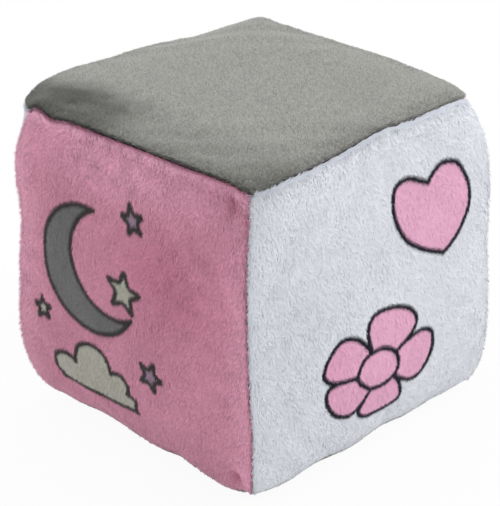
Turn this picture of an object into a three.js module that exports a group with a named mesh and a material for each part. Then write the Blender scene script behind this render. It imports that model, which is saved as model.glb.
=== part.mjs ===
// Soft fabric block: a stuffed plush cube for a baby, with a rattle capsule in its filling.
// Lengths are millimetres and +Z is up. The origin lies under the middle of the block, on the
// surface that it stands on. The front panel faces -Y and the right panel faces +X.
//
// Every piece is first laid out in a straight cube, as the flat cut panels would make it. The
// function stuffed() then moves each point of it by what the filling does to the sewn cover, so
// the pieces keep their clearances to each other in the swollen shape too.

import * as THREE from 'three';

// The sewn cover
const SEAM_TO_SEAM = 120; // from one seam to the opposite one, along a panel
const PLUSH_THICKNESS = 1.8; // knitted ground with its short pile pressed down
const SEAM_ALLOWANCE = 7; // width of the edge that is turned in along a seam
const CLIPPED_ALLOWANCE = 3; // what is left of that edge at a corner, where it is clipped
const CORNER_ROUNDING = 1; // how much of a panel's corner the stuffed cover rounds off
const CLEARANCE = 0.3; // between any two pieces that touch

// What the filling does to the cover, measured from the straight lines between the corner seams
const SIDE_CROWN = 5; // middle of an upright panel, outwards from the plane of its seams
const TOP_CROWN = 8; // middle of the top panel, upwards
const BASE_CROWN = 1; // middle of the bottom panel, downwards
const TOP_SEAM_RISE = 4.5; // middle of a top seam, upwards
const BASE_SEAM_RISE = 5; // middle of a bottom seam, upwards
const BASE_SEAM_DRAW = 4.5; // middle of a bottom seam, inwards under the block
const UPRIGHT_SEAM_SWELL = 1.5; // middle of an upright seam, outwards along each side
const TOP_CORNER_DRAW = 5.5; // top corner, inwards along each side
const BASE_CORNER_DRAW = 4.5; // bottom corner, inwards along each side
const BASE_CORNER_RISE = 8; // bottom corner, upwards
const REST_FLATTENING = 0.5; // how deep the weight presses the bottom panel flat
const SWELL_POWER = 4; // higher keeps the middle of a panel flatter and bends it nearer its seams

// The filling
const SPLIT_GAP = 0.3; // between the lower and the upper half of the filling
const WAD_EASE = 1.2; // how far the filling keeps back from the ends of the turned-in edges
const SWELL_FADE_START = 24; // distance from the middle within which the filling keeps its place

// The rattle capsule and its pellets
const CAPSULE_RADIUS = 16;
const CAPSULE_WALL = 2;
const SPIGOT_HEIGHT = 2.4; // collar of the cup that the lid snaps over
const BEAD_HEIGHT = 0.3; // how far the snap bead stands out from the collar
const PELLET_RADIUS = 2.5;
const PELLET_COUNT = 5;
const PELLET_GAP = 0.5; // around a pellet, to the capsule and to the next pellet

// Fineness of the meshes
const SIDE_STEPS = 10; // steps along one side of a panel
const TURN_STEPS = 3; // steps round the turn of a panel into its seam
const ROUND_STEPS = 24; // steps round the capsule
const NEST_STEPS = 5; // steps from the rim to the pole of the nest for the capsule
const ARC_STEPS = 7; // steps of a quarter turn in the capsule's profile

// Where rings lie between the middle and the rim of a surface
const FACE_RING_SHARES = [0.28, 0.54, 0.76, 0.92, 1];
const INNER_RING_SHARES = [1, 0.72, 0.38];
const WAD_LEVEL_SHARES = [0.66, 0.33];
const BEAD_SHARES = [0.25, 0.5, 0.75];

const DIAGONAL = Math.SQRT1_2;
const TURN_START = Math.PI / 2;
const TURN_END = -Math.PI / 4;

// A panel turns into its seam about its own underside. Half of this turn faces the seam, so the
// turn starts this far from the sharp edge that the two panels would otherwise meet in.
const TURN_RUN = PLUSH_THICKNESS / Math.tan(Math.PI / 8);
const PLY_OFFSET = CLEARANCE * DIAGONAL;
const STITCH_SINK = TURN_RUN * DIAGONAL;
const HALF = SEAM_TO_SEAM / 2 + STITCH_SINK;

// Centre of that turn in a panel's section: across from the middle, and out from the block's middle
const TURN_CENTRE = { across: HALF - PLY_OFFSET - TURN_RUN, out: HALF - PLUSH_THICKNESS };

// The filling stays under the panels and clear of the turned-in edges
const WAD_HALF = HALF - PLUSH_THICKNESS - CLEARANCE;
const ALLOWANCE_END = HALF - STITCH_SINK - SEAM_ALLOWANCE * DIAGONAL;
const WAD_EDGE = ALLOWANCE_END - WAD_EASE;
const WAD_BEVEL = 2 * (WAD_HALF - WAD_EDGE);
const WAD_SHOULDER = WAD_HALF - WAD_BEVEL;
const NEST_RADIUS = CAPSULE_RADIUS + CLEARANCE;

// How far down the lowest point of the stuffed cover reaches, less what the weight presses flat
const FLOOR = -SEAM_TO_SEAM / 2 - BASE_CROWN + REST_FLATTENING;

const GREY_PLUSH = { color: 0xa09f9a, roughness: 0.95, metalness: 0 };
const PINK_PLUSH = { color: 0xd391a8, roughness: 0.95, metalness: 0 };
const WHITE_PLUSH = { color: 0xeceded, roughness: 0.95, metalness: 0 };
const POLYESTER_FIBRE = { color: 0xf6f5f1, roughness: 1, metalness: 0 };
const CLEAR_PLASTIC = { color: 0xe6e9ea, roughness: 0.35, metalness: 0 };
const PELLET_PLASTIC = { color: 0xf2e6c9, roughness: 0.45, metalness: 0 };

const PANELS = [
  { name: 'panel_top', outward: [0, 0, 1], finish: GREY_PLUSH },
  { name: 'panel_bottom', outward: [0, 0, -1], finish: GREY_PLUSH },
  { name: 'panel_front', outward: [0, -1, 0], finish: PINK_PLUSH },
  { name: 'panel_back', outward: [0, 1, 0], finish: PINK_PLUSH },
  { name: 'panel_right', outward: [1, 0, 0], finish: WHITE_PLUSH },
  { name: 'panel_left', outward: [-1, 0, 0], finish: WHITE_PLUSH },
];

// How far the filling moves one of the 26 points of the straight cube: a corner, the middle of a
// seam or the middle of a panel. Each of x, y and z is -1, 0 or 1.
function pullAt(x, y, z) {
  const kind = Math.abs(x) + Math.abs(y) + Math.abs(z);
  if (kind === 0) return new THREE.Vector3();
  if (kind === 3) {
    const draw = z > 0 ? TOP_CORNER_DRAW : BASE_CORNER_DRAW;
    return new THREE.Vector3(-x * draw, -y * draw, z > 0 ? 0 : BASE_CORNER_RISE);
  }
  if (kind === 2 && z > 0) return new THREE.Vector3(0, 0, TOP_SEAM_RISE);
  if (kind === 2 && z < 0) return new THREE.Vector3(-x * BASE_SEAM_DRAW, -y * BASE_SEAM_DRAW, BASE_SEAM_RISE);
  if (kind === 2) return new THREE.Vector3(x * UPRIGHT_SEAM_SWELL, y * UPRIGHT_SEAM_SWELL, 0);
  const crown = z > 0 ? TOP_CROWN : z < 0 ? BASE_CROWN : SIDE_CROWN;
  return new THREE.Vector3(x, y, z).multiplyScalar(crown - STITCH_SINK);
}

// How much of the pull at the low end, the middle and the high end reaches a place from -1 to 1
function spread(place) {
  const end = Math.abs(place) ** SWELL_POWER;
  return [place < 0 ? end : 0, 1 - end, place > 0 ? end : 0];
}

// Where a point of the straight cube goes when the cover is stuffed and set down on its base
function stuffed(point) {
  const reach = Math.max(Math.abs(point.x), Math.abs(point.y), Math.abs(point.z));
  const moved = point.clone();
  if (reach > 0) {
    const strength = THREE.MathUtils.smoothstep(reach, SWELL_FADE_START, WAD_HALF);
    const [alongX, alongY, alongZ] = [point.x, point.y, point.z].map((place) => spread(place / reach));
    for (const x of [-1, 0, 1]) {
      for (const y of [-1, 0, 1]) {
        for (const z of [-1, 0, 1]) {
          const share = alongX[x + 1] * alongY[y + 1] * alongZ[z + 1];
          moved.addScaledVector(pullAt(x, y, z), share * strength);
        }
      }
    }
  }
  moved.z = Math.max(moved.z - FLOOR, 0);
  return moved;
}

// Places along one side of a square ring, from -1 to 1, closer together near its corners
const SIDE_SHARES = Array.from({ length: SIDE_STEPS }, (_, step) => {
  const even = (2 * step) / SIDE_STEPS - 1;
  return (even + Math.sin((even * Math.PI) / 2)) / 2;
});

// The points of a square ring, counterclockwise from one corner, as shares of its half width
const SQUARE_SHARES = [
  ...SIDE_SHARES.map((share) => [1, share]),
  ...SIDE_SHARES.map((share) => [-share, 1]),
  ...SIDE_SHARES.map((share) => [-1, -share]),
  ...SIDE_SHARES.map((share) => [share, -1]),
];

const isCorner = ([u, v]) => Math.abs(u) === 1 && Math.abs(v) === 1;

// A square ring whose corners are cut off over the length cut
function squareRing(half, out, cut = 0) {
  return SQUARE_SHARES.map(([u, v]) => {
    const over = Math.max(0, half * (Math.abs(u) + Math.abs(v)) - (2 * half - cut)) / 2;
    return new THREE.Vector3(half * u - Math.sign(u) * over, half * v - Math.sign(v) * over, out);
  });
}

// The rings, from the rim inwards, that a panel's underside shares with the filling under it
function innerRings(out) {
  return INNER_RING_SHARES.map((share) => squareRing(WAD_SHOULDER * share, out));
}

// A round ring with as many points as a square one
function roundRing(radius, out) {
  return SQUARE_SHARES.map(([u, v]) => {
    const angle = Math.atan2(v, u);
    return new THREE.Vector3(radius * Math.cos(angle), radius * Math.sin(angle), out);
  });
}

// A closed surface through a first point, a row of rings and a last point
function loft(first, rings, last) {
  const count = SQUARE_SHARES.length;
  const points = [first, ...rings.flat(), last];
  const faces = [];
  for (let i = 0; i < count; i += 1) {
    const next = (i + 1) % count;
    faces.push(0, 1 + i, 1 + next);
    for (let ring = 0; ring + 1 < rings.length; ring += 1) {
      const near = 1 + ring * count;
      const far = near + count;
      faces.push(near + i, far + i, far + next);
      faces.push(near + i, far + next, near + next);
    }
    const end = 1 + (rings.length - 1) * count;
    faces.push(points.length - 1, end + next, end + i);
  }
  const geometry = new THREE.BufferGeometry().setFromPoints(points);
  geometry.setIndex(faces);
  return geometry;
}

// Turns a layout drawn about +Z to face outward, then stuffs it
function facing(points, outward) {
  const normal = new THREE.Vector3(...outward);
  const across = new THREE.Vector3(normal.z, normal.x, normal.y);
  const along = normal.clone().cross(across);
  const turn = new THREE.Matrix4().makeBasis(across, along, normal);
  return points.map((point) => stuffed(point.applyMatrix4(turn)));
}

function addPiece(group, name, geometry, finish) {
  geometry.computeVertexNormals();
  const mesh = new THREE.Mesh(geometry, new THREE.MeshStandardMaterial(finish));
  mesh.name = name;
  group.add(mesh);
  return mesh;
}

// One panel: its face, the turn into the seam, the edge turned in along the diagonal, its underside
function panelGeometry(outward) {
  const face = FACE_RING_SHARES.map((share) =>
    squareRing(TURN_CENTRE.across * share, HALF, CORNER_ROUNDING * share));
  const turn = Array.from({ length: TURN_STEPS }, (_, step) => {
    const angle = THREE.MathUtils.lerp(TURN_START, TURN_END, (step + 1) / TURN_STEPS);
    return squareRing(
      TURN_CENTRE.across + PLUSH_THICKNESS * Math.cos(angle),
      TURN_CENTRE.out + PLUSH_THICKNESS * Math.sin(angle),
      CORNER_ROUNDING,
    );
  });
  const turnedIn = (ring) => ring.map((point, i) => {
    const corner = isCorner(SQUARE_SHARES[i]);
    const width = (corner ? CLIPPED_ALLOWANCE : SEAM_ALLOWANCE) * DIAGONAL;
    const [u, v] = SQUARE_SHARES[i];
    const inU = Math.abs(u) === 1 ? Math.sign(u) * width : 0;
    const inV = Math.abs(v) === 1 ? Math.sign(v) * width : 0;
    return new THREE.Vector3(point.x - inU, point.y - inV, point.z - width);
  });
  const turnCentre = squareRing(TURN_CENTRE.across, TURN_CENTRE.out, CORNER_ROUNDING);
  const inEdge = [turnedIn(turn.at(-1)), turnedIn(turnCentre), turnCentre];
  const rings = [...face, ...turn, ...inEdge, ...innerRings(TURN_CENTRE.out)];
  return loft(
    facing([new THREE.Vector3(0, 0, HALF)], outward)[0],
    rings.map((ring) => facing(ring, outward)),
    facing([new THREE.Vector3(0, 0, TURN_CENTRE.out)], outward)[0],
  );
}

// Half of the filling: a square wad, bevelled where the seams are, with a nest for the capsule
function wadGeometry(outward) {
  const split = SPLIT_GAP / 2;
  const side = [1, ...WAD_LEVEL_SHARES, 0].map((share) =>
    squareRing(WAD_HALF, THREE.MathUtils.lerp(split, WAD_SHOULDER, share), WAD_BEVEL));
  const nest = Array.from({ length: NEST_STEPS }, (_, step) => {
    const angle = (step / NEST_STEPS) * (Math.PI / 2);
    return roundRing(NEST_RADIUS * Math.cos(angle), split + NEST_RADIUS * Math.sin(angle));
  });
  const floor = squareRing(WAD_HALF / 2, split);
  const rings = [...innerRings(WAD_HALF).reverse(), squareRing(WAD_EDGE, WAD_EDGE), ...side, floor, ...nest];
  return loft(
    facing([new THREE.Vector3(0, 0, WAD_HALF)], outward)[0],
    rings.map((ring) => facing(ring, outward)),
    facing([new THREE.Vector3(0, 0, split + NEST_RADIUS)], outward)[0],
  );
}

// Points of a quarter circle in a profile, from the joint plane to the pole
function quarter(radius, joint) {
  return Array.from({ length: ARC_STEPS + 1 }, (_, step) => {
    const angle = (step / ARC_STEPS) * (Math.PI / 2);
    return new THREE.Vector2(radius * Math.cos(angle), joint + radius * Math.sin(angle));
  });
}

// The bead on the collar, or the groove for it, as points of a profile going up
function snapCurve(radius, base, height) {
  return BEAD_SHARES.map((share) =>
    new THREE.Vector2(radius + BEAD_HEIGHT * Math.sin(share * Math.PI), base + height * share));
}

const BORE_RADIUS = CAPSULE_RADIUS - CAPSULE_WALL;
const SPIGOT_RADIUS = BORE_RADIUS + (CAPSULE_WALL - CLEARANCE) / 2;
const SOCKET_RADIUS = SPIGOT_RADIUS + CLEARANCE;

// A turned profile, drawn as radius and height, stood up along +Z
function turned(profile) {
  profile[0].x = 0;
  profile.at(-1).x = 0;
  return new THREE.LatheGeometry(profile, ROUND_STEPS).rotateX(Math.PI / 2);
}

// Lower half of the capsule: a bowl with a collar inside its rim and a snap bead round the collar
function cupGeometry() {
  const downwards = (points) => points.map((point) => new THREE.Vector2(point.x, -point.y));
  const outside = downwards(quarter(CAPSULE_RADIUS, 0)).reverse();
  const inside = downwards(quarter(BORE_RADIUS, 0));
  return turned([
    ...outside,
    new THREE.Vector2(SPIGOT_RADIUS, 0),
    ...snapCurve(SPIGOT_RADIUS, 0, SPIGOT_HEIGHT),
    new THREE.Vector2(SPIGOT_RADIUS, SPIGOT_HEIGHT),
    new THREE.Vector2(BORE_RADIUS - CLEARANCE, SPIGOT_HEIGHT),
    ...inside,
  ]);
}

// Upper half of the capsule: a dome whose rim goes over the collar and its bead
function lidGeometry() {
  const shoulder = SPIGOT_HEIGHT + CLEARANCE;
  const inside = quarter(BORE_RADIUS, 0).filter((point) => point.y > shoulder);
  const outside = quarter(CAPSULE_RADIUS, 0).filter((point) => point.y > CLEARANCE);
  const rim = Math.sqrt(CAPSULE_RADIUS ** 2 - CLEARANCE ** 2);
  const ledge = Math.sqrt(BORE_RADIUS ** 2 - shoulder ** 2);
  return turned([
    ...inside.reverse(),
    new THREE.Vector2(ledge, shoulder),
    new THREE.Vector2(SOCKET_RADIUS, shoulder),
    ...snapCurve(SOCKET_RADIUS, 0, SPIGOT_HEIGHT).reverse(),
    new THREE.Vector2(SOCKET_RADIUS, CLEARANCE),
    new THREE.Vector2(rim, CLEARANCE),
    ...outside,
  ]);
}

// The capsule with its pellets, which lie in a ring on the bottom of the cup
function rattle() {
  const group = new THREE.Group();
  group.position.z = -FLOOR;
  addPiece(group, 'rattle_cup', cupGeometry(), CLEAR_PLASTIC);
  addPiece(group, 'rattle_lid', lidGeometry(), CLEAR_PLASTIC);
  const spacing = 2 * PELLET_RADIUS + PELLET_GAP;
  const ringRadius = spacing / (2 * Math.sin(Math.PI / PELLET_COUNT));
  const reach = BORE_RADIUS - PELLET_RADIUS - PELLET_GAP;
  const depth = Math.sqrt(reach ** 2 - ringRadius ** 2);
  for (let i = 0; i < PELLET_COUNT; i += 1) {
    const angle = (i / PELLET_COUNT) * 2 * Math.PI;
    const ball = new THREE.SphereGeometry(PELLET_RADIUS, ROUND_STEPS / 2, ARC_STEPS + 1);
    const pellet = addPiece(group, `rattle_pellet_${i + 1}`, ball, PELLET_PLASTIC);
    pellet.position.set(ringRadius * Math.cos(angle), ringRadius * Math.sin(angle), -depth);
  }
  return group;
}

const block = new THREE.Group();
for (const { name, outward, finish } of PANELS) {
  addPiece(block, name, panelGeometry(outward), finish);
}
addPiece(block, 'filling_lower', wadGeometry([0, 0, -1]), POLYESTER_FIBRE);
addPiece(block, 'filling_upper', wadGeometry([0, 0, 1]), POLYESTER_FIBRE);
block.add(rattle());

export default block;
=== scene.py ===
# %% [markdown]
# # A soft plush block for a baby
#
# The real block is six squares of short-pile polyester plush, sewn inside out with 7 mm of turned-in
# edge, turned the right way round and stuffed tight with fibre. A rattle capsule lies in the middle.
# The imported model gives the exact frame. This lesson dresses it: a stuffed cover with seams, a real
# pile of strands, the printed pictures, the fibre filling, and the light and camera of the photograph.

import itertools
import math

import bpy
import numpy as np
from mathutils import Matrix


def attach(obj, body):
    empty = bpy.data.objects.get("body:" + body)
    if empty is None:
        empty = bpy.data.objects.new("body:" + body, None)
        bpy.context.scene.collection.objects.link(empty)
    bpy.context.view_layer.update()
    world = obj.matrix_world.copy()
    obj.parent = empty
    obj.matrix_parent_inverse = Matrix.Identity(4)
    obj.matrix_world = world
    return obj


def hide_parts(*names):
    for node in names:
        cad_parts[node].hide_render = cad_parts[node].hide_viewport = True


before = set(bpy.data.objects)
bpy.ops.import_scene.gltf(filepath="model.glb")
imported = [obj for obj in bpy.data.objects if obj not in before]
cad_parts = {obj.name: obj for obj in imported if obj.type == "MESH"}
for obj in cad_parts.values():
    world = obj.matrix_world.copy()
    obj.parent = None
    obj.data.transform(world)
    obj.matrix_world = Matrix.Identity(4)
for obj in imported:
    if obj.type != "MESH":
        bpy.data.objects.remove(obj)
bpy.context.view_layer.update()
MM = 0.001

# %% [markdown]
# ## The camera of the photograph
#
# The block was photographed from one of its upright edges, from above, with a long lens. The angles,
# the distance and the focal length were fitted to the outline and the seams, so the render can be laid
# over the photograph.

# %% Place the camera
PHOTO_WIDTH, PHOTO_HEIGHT = 500, 506
SENSOR = 36.0
AZIMUTH, ELEVATION, ROLL = math.radians(45.05), math.radians(26.67), math.radians(-1.66)
CAMERA_DISTANCE = 799.7 * MM
FOCAL_PIXELS = 2116
AIM_RIGHT, AIM_UP = -0.45 * MM, 0.21 * MM
MIDDLE_HEIGHT = 60.5 * MM


def placed(name, data):
    """A new object in the scene."""
    item = bpy.data.objects.new(name, data)
    bpy.context.scene.collection.objects.link(item)
    return item


def aimed(item, right, up, back, place):
    """Puts a camera or a lamp at a place, with its own axes along the three directions."""
    matrix = np.identity(4)
    matrix[:3] = np.column_stack([right, up, back, place])
    item.matrix_world = Matrix(matrix.tolist())


back = np.array([math.sin(AZIMUTH) * math.cos(ELEVATION), -math.cos(AZIMUTH) * math.cos(ELEVATION),
                 math.sin(ELEVATION)])
right = np.array([math.cos(AZIMUTH), math.sin(AZIMUTH), 0.0])
up = np.cross(back, right)
place = back * CAMERA_DISTANCE + right * AIM_RIGHT + up * AIM_UP + np.array([0, 0, MIDDLE_HEIGHT])
rolled_right = math.cos(ROLL) * right + math.sin(ROLL) * up
rolled_up = math.cos(ROLL) * up - math.sin(ROLL) * right

camera_data = bpy.data.cameras.new("camera")
camera_data.sensor_width = SENSOR
camera_data.lens = FOCAL_PIXELS / max(PHOTO_WIDTH, PHOTO_HEIGHT) * SENSOR
camera_data.clip_start, camera_data.clip_end = 0.05, 20
camera = placed("camera", camera_data)
aimed(camera, rolled_right, rolled_up, back, place)
bpy.context.scene.camera = camera
print("lens:", round(camera_data.lens, 1), "mm")

# %% [markdown]
# ## The form of the stuffed cover
#
# The cover starts as a straight cube. Stuffing swells the middle of every panel, lets the middles of
# the seams rise or bow, and draws the corners in. Each of these pulls is known at the corners, seam
# middles and panel middles of the cube, 26 places in all, and is blended smoothly between them. The
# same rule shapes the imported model. Here the pulls also hold what is crooked on this one block, such
# as the seam on the left of the top, which is far from straight.

# %% Pull the straight cube into its stuffed form
SEAM_HALF = 60.0
OUTER_HALF = 63.073
STITCH_SINK = OUTER_HALF - SEAM_HALF
FLOOR = -60.5
SWELL_POWER = 4
FADE_START, FADE_END = 24.0, 60.973
SIDE_CROWN, TOP_CROWN, BASE_CROWN = 4.7, 7.9, 1.0
TOP_SEAM_RISE, TOP_SEAM_DRAW = 4.3, -0.1
BASE_SEAM_RISE, BASE_SEAM_DRAW = 4.8, 4.3
UPRIGHT_SEAM_SWELL = 1.5
TOP_CORNER_DRAW, TOP_CORNER_RISE = 5.9, 0.2
BASE_CORNER_DRAW, BASE_CORNER_RISE = 4.2, 7.7
CROOKED = {
    (-1, -1, -1): (0.0, 2.0, 2.5), (-1, -1, 0): (0.3, 0.0, -0.8), (-1, -1, 1): (0.4, 0.6, 0.1),
    (-1, 0, 0): (0.6, 0.6, -0.2), (-1, 0, 1): (-6.8, -9.8, 0.3), (0, -1, -1): (0.1, 0.7, 0.6),
    (0, 0, 1): (-0.5, -0.9, -0.3), (0, 1, 1): (-1.3, -1.0, -0.1), (1, -1, -1): (-1.0, -2.0, -0.2),
    (1, -1, 0): (-1.1, -2.0, -0.1), (1, 1, -1): (1.8, 0.1, -1.3), (1, 1, 0): (1.7, 0.5, -0.4),
}
CAGE = [corner for corner in itertools.product((-1, 0, 1), repeat=3) if any(corner)]


def pull_at(corner):
    """How far the stuffing moves one of the 26 places, in mm."""
    x, y, z = corner
    edges = abs(x) + abs(y) + abs(z)
    if edges == 3:
        draw, rise = (TOP_CORNER_DRAW, TOP_CORNER_RISE) if z > 0 else (BASE_CORNER_DRAW, BASE_CORNER_RISE)
        pull = (-x * draw, -y * draw, rise)
    elif edges == 2 and z:
        draw, rise = (TOP_SEAM_DRAW, TOP_SEAM_RISE) if z > 0 else (BASE_SEAM_DRAW, BASE_SEAM_RISE)
        pull = (-x * draw, -y * draw, rise)
    elif edges == 2:
        pull = (x * UPRIGHT_SEAM_SWELL, y * UPRIGHT_SEAM_SWELL, 0)
    else:
        crown = (TOP_CROWN if z > 0 else BASE_CROWN if z < 0 else SIDE_CROWN) - STITCH_SINK
        pull = (x * crown, y * crown, z * crown)
    return np.array(pull, float) + np.array(CROOKED.get(corner, (0, 0, 0)))


PULLS = np.array([pull_at(corner) for corner in CAGE])


def shares(cube_points):
    """How much each of the 26 places counts at points of the straight cube, seen from its middle."""
    surface = cube_points / np.abs(cube_points).max(axis=1, keepdims=True)
    power = np.abs(surface) ** SWELL_POWER
    along = {-1: np.where(surface < 0, power, 0), 0: 1 - power, 1: np.where(surface > 0, power, 0)}
    return np.stack([along[x][:, 0] * along[y][:, 1] * along[z][:, 2] for x, y, z in CAGE], axis=1)


def smooth(value, low, high):
    """0 below low, 1 above high and an even S curve between them."""
    share = np.clip((value - low) / (high - low), 0, 1)
    return share * share * (3 - 2 * share)


def swollen(cube_points):
    """Points of the straight cube, in mm from its middle, moved to where the stuffing takes them."""
    reach = np.abs(cube_points).max(axis=1)
    return cube_points + (shares(cube_points) @ PULLS) * smooth(reach, FADE_START, FADE_END)[:, None]


top_middle = swollen(np.array([[0, 0, OUTER_HALF]]))[0]
print("middle of the top panel stands", round(top_middle[2] - FLOOR, 1), "mm above the floor")

# %% [markdown]
# ## Six panels and how they are named
#
# A panel is known by the direction that it faces and by the direction that is to the right for someone
# who looks at it. Upwards on the panel follows from those two. A place on a panel is then (u, v), in mm
# from its middle, which is how the printer of the fabric would give it too.

# %% Panel directions
PANELS = {
    "top": ((0, 0, 1), (1, 0, 0)),
    "bottom": ((0, 0, -1), (1, 0, 0)),
    "front": ((0, -1, 0), (1, 0, 0)),
    "back": ((0, 1, 0), (-1, 0, 0)),
    "right": ((1, 0, 0), (0, 1, 0)),
    "left": ((-1, 0, 0), (0, -1, 0)),
}


def axes(panel):
    """The outward, rightward and upward directions of a panel."""
    outward, rightward = (np.array(direction, float) for direction in PANELS[panel])
    return outward, rightward, np.cross(outward, rightward)


def waves(points, length, seed, count=7):
    """Soft noise from -1 to 1: a few plane waves of about that length in mm, in seeded directions."""
    dice = np.random.default_rng(seed)
    total = np.zeros(len(points))
    for _ in range(count):
        direction = dice.normal(size=points.shape[1])
        direction *= 2 * math.pi / (length * dice.uniform(0.7, 1.5)) / np.linalg.norm(direction)
        total += np.sin(points @ direction + dice.uniform(0, 2 * math.pi))
    return total / math.sqrt(count * 2) / 1.2


def mesh_object(name, points, faces):
    """A mesh object at the origin from points in metres."""
    mesh = bpy.data.meshes.new(name)
    mesh.from_pydata([], [], [])
    mesh.vertices.add(len(points))
    mesh.vertices.foreach_set("co", np.ascontiguousarray(points, np.float32).ravel())
    mesh.loops.add(faces.size)
    mesh.loops.foreach_set("vertex_index", np.ascontiguousarray(faces, np.int32).ravel())
    mesh.polygons.add(len(faces))
    mesh.polygons.foreach_set("loop_start", np.arange(0, faces.size, faces.shape[1], dtype=np.int32))
    mesh.update(calc_edges=True)
    mesh.validate()
    return placed(name, mesh)


print("panels:", ", ".join(PANELS))

# %% [markdown]
# ## Creases from a cloth simulation
#
# Real fabric under pressure doesn't only swell, it also puckers where a short seam holds a wide panel
# back. That is left to the cloth solver: the cube is made as one welded net, a little too small, its
# seams are told to shrink, and stuffing pressure blows it up for twenty frames without gravity. Four
# tenths of what the net did beyond the smooth swelling, which the 26 pulls already give, are kept as
# creases.

# %% Blow up the cover
NET_CELLS = 40
START_SIZE = 0.985
CLOTH = {"quality": 6, "mass": 0.2, "tension_stiffness": 12, "compression_stiffness": 12,
         "shear_stiffness": 5, "bending_stiffness": 8, "use_pressure": True,
         "uniform_pressure_force": 4.0, "shrink_min": 0.0, "shrink_max": 0.035}
SEAM_TIGHTNESS, TIGHTNESS_SWING = 0.65, 0.5
FIBRE_HOLD = 0.22
STUFFING_FRAMES = 20
CREASE_SHARE, CREASE_LIMIT = 0.4, 1.2


def read(items, field, width=3, kind=np.float32):
    """One field of all the points, corners or values of a mesh as an array."""
    values = np.zeros(len(items) * width, kind)
    items.foreach_get(field, values)
    return values.reshape(-1, width)


def discard(item):
    """Takes an object and its mesh away."""
    mesh = item.data
    bpy.data.objects.remove(item)
    bpy.data.meshes.remove(mesh)


def net():
    """The straight cube as one welded net: its points, its quads and each panel's table of points."""
    numbers, tables, quads = {}, {}, []
    line = range(-NET_CELLS, NET_CELLS + 1, 2)
    for panel in PANELS:
        outward, rightward, upward = axes(panel)
        table = np.array([[numbers.setdefault(
            tuple((outward * NET_CELLS + rightward * u + upward * v).astype(int).tolist()), len(numbers))
            for u in line] for v in line])
        tables[panel] = table
        quads.append(np.stack([table[:-1, :-1], table[:-1, 1:], table[1:, 1:], table[1:, :-1]],
                              axis=-1).reshape(-1, 4))
    return np.array(list(numbers)) / NET_CELLS * OUTER_HALF, np.concatenate(quads), tables


def blown_up(points, quads):
    """Where the cloth solver takes the net's points, in mm."""
    scene = bpy.context.scene
    start = swollen(points) * START_SIZE
    cover = mesh_object("cover net", start * MM, quads)
    seams = cover.vertex_groups.new(name="seams")
    on_seam = (np.abs(points) > OUTER_HALF - 0.01).sum(axis=1) > 1
    tightness = np.clip(SEAM_TIGHTNESS + TIGHTNESS_SWING * waves(points, 26, 40), 0, 1)
    for number in np.flatnonzero(on_seam):
        seams.add([int(number)], float(tightness[number]), "REPLACE")
    held = cover.vertex_groups.new(name="held by the fibre")
    held.add(list(range(len(points))), FIBRE_HOLD, "REPLACE")
    stuffing = cover.modifiers.new("stuffing", "CLOTH")
    cloth = stuffing.settings
    for name, value in CLOTH.items():
        setattr(cloth, name, value)
    cloth.effector_weights.gravity = 0
    cloth.vertex_group_mass = "held by the fibre"
    cloth.vertex_group_shrink = "seams"
    stuffing.point_cache.frame_start, stuffing.point_cache.frame_end = 1, STUFFING_FRAMES
    for frame_number in range(1, STUFFING_FRAMES + 1):
        scene.frame_set(frame_number)
    moved = read(cover.evaluated_get(bpy.context.evaluated_depsgraph_get()).data.vertices, "co")
    scene.frame_set(1)
    discard(cover)
    return moved / MM, start


def creases():
    """Each panel's table of how far the creases move it, in mm."""
    points, quads, tables = net()
    moved, start = blown_up(points, quads)
    gain = moved - start
    weights = shares(points)
    smooth_part = weights @ np.linalg.lstsq(weights, gain, rcond=None)[0]
    left = (gain - smooth_part) * CREASE_SHARE
    length = np.linalg.norm(left, axis=1, keepdims=True)
    left *= np.minimum(1, CREASE_LIMIT / np.maximum(length, 1e-9))
    print("the net swelled by", round(float(np.abs(gain).max()), 1), "mm, creases up to",
          round(float(length.max()), 1), "mm, mean", round(float(length.mean()), 2), "mm")
    return {panel: left[table] for panel, table in tables.items()}


CREASES = creases()
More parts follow.
